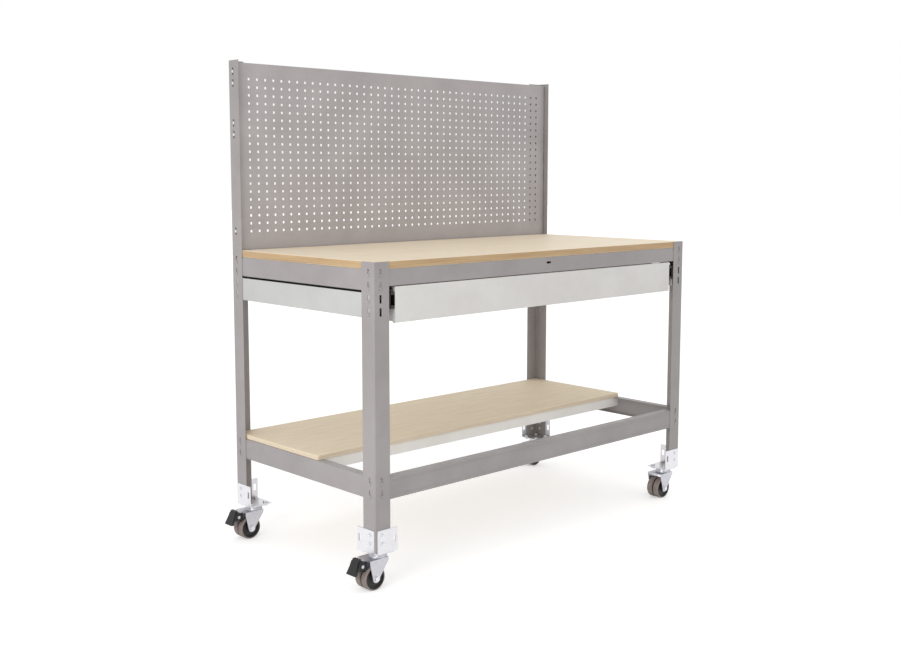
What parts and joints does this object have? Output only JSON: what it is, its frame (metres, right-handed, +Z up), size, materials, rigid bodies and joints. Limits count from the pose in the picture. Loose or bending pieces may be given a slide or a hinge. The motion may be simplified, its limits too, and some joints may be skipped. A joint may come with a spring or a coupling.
{
  "type": "mobile assembly table",
  "caption": "Mobile assembly table: slotted steel frame, wooden worktop and half-depth lower shelf, wide drawer on slides, perforated back panel, braked swivel casters.",
  "frame": {"origin": "on the floor, under the middle of the table's footprint, brake pedals included", "axes": "+X to the right as seen from the front, +Y to the back where the perforated panel stands, +Z up"},
  "size_m": [1.5706, 0.7532, 1.596],
  "materials": {
    "grey_powder_coat": "satin grey powder coat",
    "grey_panel_coat": "satin grey powder coat on a perforated panel",
    "worktop_wood": "pale sealed board with fine grain",
    "shelf_wood": "pale board with fine grain",
    "white_powder_coat": "satin off-white powder coat",
    "black_slide_coat": "black coated slide",
    "zinc_plate": "bright zinc plate",
    "zinc_fastener": "zinc-plated fasteners",
    "black_wheel_plastic": "matt black moulded wheel centre",
    "grey_tread": "grey soft tread",
    "black_pedal_plastic": "matt black moulded pedal"
  },
  "bodies": {
    "frame": {"beam_rivets": "grey_powder_coat", "board_screws": "zinc_fastener", "bracket_bolts": "zinc_fastener", "caster_bolts": "zinc_fastener", "caster_plate_back_left": "zinc_plate", "caster_plate_back_right": "zinc_plate", "caster_plate_front_left": "zinc_plate", "caster_plate_front_right": "zinc_plate", "corner_bracket_back_left": "zinc_plate", "corner_bracket_back_right": "zinc_plate", "corner_bracket_front_left": "zinc_plate", "corner_bracket_front_right": "zinc_plate", "drawer_hanger_left": "white_powder_coat", "drawer_hanger_right": "white_powder_coat", "lower_beam_back": "grey_powder_coat", "lower_beam_front": "grey_powder_coat", "lower_beam_left": "grey_powder_coat", "lower_beam_right": "grey_powder_coat", "lower_shelf_board": "shelf_wood", "pegboard_panel": "grey_panel_coat", "pegboard_screws": "zinc_fastener", "post_back_left": "grey_powder_coat", "post_back_right": "grey_powder_coat", "post_front_left": "grey_powder_coat", "post_front_right": "grey_powder_coat", "shelf_support_beam": "white_powder_coat", "slide_outer_left": "black_slide_coat", "slide_outer_right": "black_slide_coat", "slide_screws": "zinc_fastener", "support_screws": "zinc_fastener", "upper_beam_back": "grey_powder_coat", "upper_beam_front": "grey_powder_coat", "upper_beam_left": "grey_powder_coat", "upper_beam_right": "grey_powder_coat", "worktop_board": "worktop_wood"},
    "drawer": {"drawer_tray": "white_powder_coat", "drawer_front": "white_powder_coat", "drawer_screws": "zinc_fastener", "slide_inner_left": "black_slide_coat", "slide_inner_right": "black_slide_coat"},
    "slide_carriage_left": {"slide_middle_left": "black_slide_coat"},
    "slide_carriage_right": {"slide_middle_right": "black_slide_coat"},
    "caster_front_left": {"caster_fork_front_left": "zinc_plate", "caster_axle_front_left": "zinc_fastener"},
    "wheel_front_left": {"wheel_core_front_left": "black_wheel_plastic", "wheel_treads_front_left": "grey_tread"},
    "pedal_front_left": {"brake_pedal_front_left": "black_pedal_plastic"},
    "caster_front_right": {"caster_fork_front_right": "zinc_plate", "caster_axle_front_right": "zinc_fastener"},
    "wheel_front_right": {"wheel_core_front_right": "black_wheel_plastic", "wheel_treads_front_right": "grey_tread"},
    "caster_back_left": {"caster_fork_back_left": "zinc_plate", "caster_axle_back_left": "zinc_fastener"},
    "wheel_back_left": {"wheel_core_back_left": "black_wheel_plastic", "wheel_treads_back_left": "grey_tread"},
    "pedal_back_left": {"brake_pedal_back_left": "black_pedal_plastic"},
    "caster_back_right": {"caster_fork_back_right": "zinc_plate", "caster_axle_back_right": "zinc_fastener"},
    "wheel_back_right": {"wheel_core_back_right": "black_wheel_plastic", "wheel_treads_back_right": "grey_tread"}
  },
  "joints": [
    {"name": "drawer_travel", "type": "slide", "parent": "frame", "child": "drawer", "axis": [0, -1, 0], "range_m": [0, 0.56]},
    {"name": "slide_carriage_left_travel", "type": "slide", "parent": "frame", "child": "slide_carriage_left", "axis": [0, -1, 0], "range_m": [0, 0.28]},
    {"name": "slide_carriage_right_travel", "type": "slide", "parent": "frame", "child": "slide_carriage_right", "axis": [0, -1, 0], "range_m": [0, 0.28]},
    {"name": "caster_front_left_swivel", "type": "hinge", "parent": "frame", "child": "caster_front_left", "pos_m": [-0.6813, -0.33, 0.1], "axis": [0, 0, 1], "continuous": true},
    {"name": "wheel_front_left_spin", "type": "hinge", "parent": "caster_front_left", "child": "wheel_front_left", "pos_m": [-0.7113, -0.33, 0.038], "axis": [0, 1, 0], "continuous": true},
    {"name": "brake_pedal_front_left_tilt", "type": "hinge", "parent": "caster_front_left", "child": "pedal_front_left", "pos_m": [-0.7553, -0.33, 0.082], "axis": [0, 1, 0], "range_deg": [0, 20]},
    {"name": "caster_front_right_swivel", "type": "hinge", "parent": "frame", "child": "caster_front_right", "pos_m": [0.7387, -0.33, 0.1], "axis": [0, 0, 1], "continuous": true},
    {"name": "wheel_front_right_spin", "type": "hinge", "parent": "caster_front_right", "child": "wheel_front_right", "pos_m": [0.7087, -0.33, 0.038], "axis": [0, 1, 0], "continuous": true},
    {"name": "caster_back_left_swivel", "type": "hinge", "parent": "frame", "child": "caster_back_left", "pos_m": [-0.6813, 0.33, 0.1], "axis": [0, 0, 1], "continuous": true},
    {"name": "wheel_back_left_spin", "type": "hinge", "parent": "caster_back_left", "child": "wheel_back_left", "pos_m": [-0.7113, 0.33, 0.038], "axis": [0, 1, 0], "continuous": true},
    {"name": "brake_pedal_back_left_tilt", "type": "hinge", "parent": "caster_back_left", "child": "pedal_back_left", "pos_m": [-0.7553, 0.33, 0.082], "axis": [0, 1, 0], "range_deg": [0, 20]},
    {"name": "caster_back_right_swivel", "type": "hinge", "parent": "frame", "child": "caster_back_right", "pos_m": [0.7387, 0.33, 0.1], "axis": [0, 0, 1], "continuous": true},
    {"name": "wheel_back_right_spin", "type": "hinge", "parent": "caster_back_right", "child": "wheel_back_right", "pos_m": [0.7087, 0.33, 0.038], "axis": [0, 1, 0], "continuous": true}
  ],
  "couplings": [
    {"joint": "slide_carriage_left_travel", "follows": "drawer_travel", "ratio": 0.5},
    {"joint": "slide_carriage_right_travel", "follows": "drawer_travel", "ratio": 0.5}
  ]
}
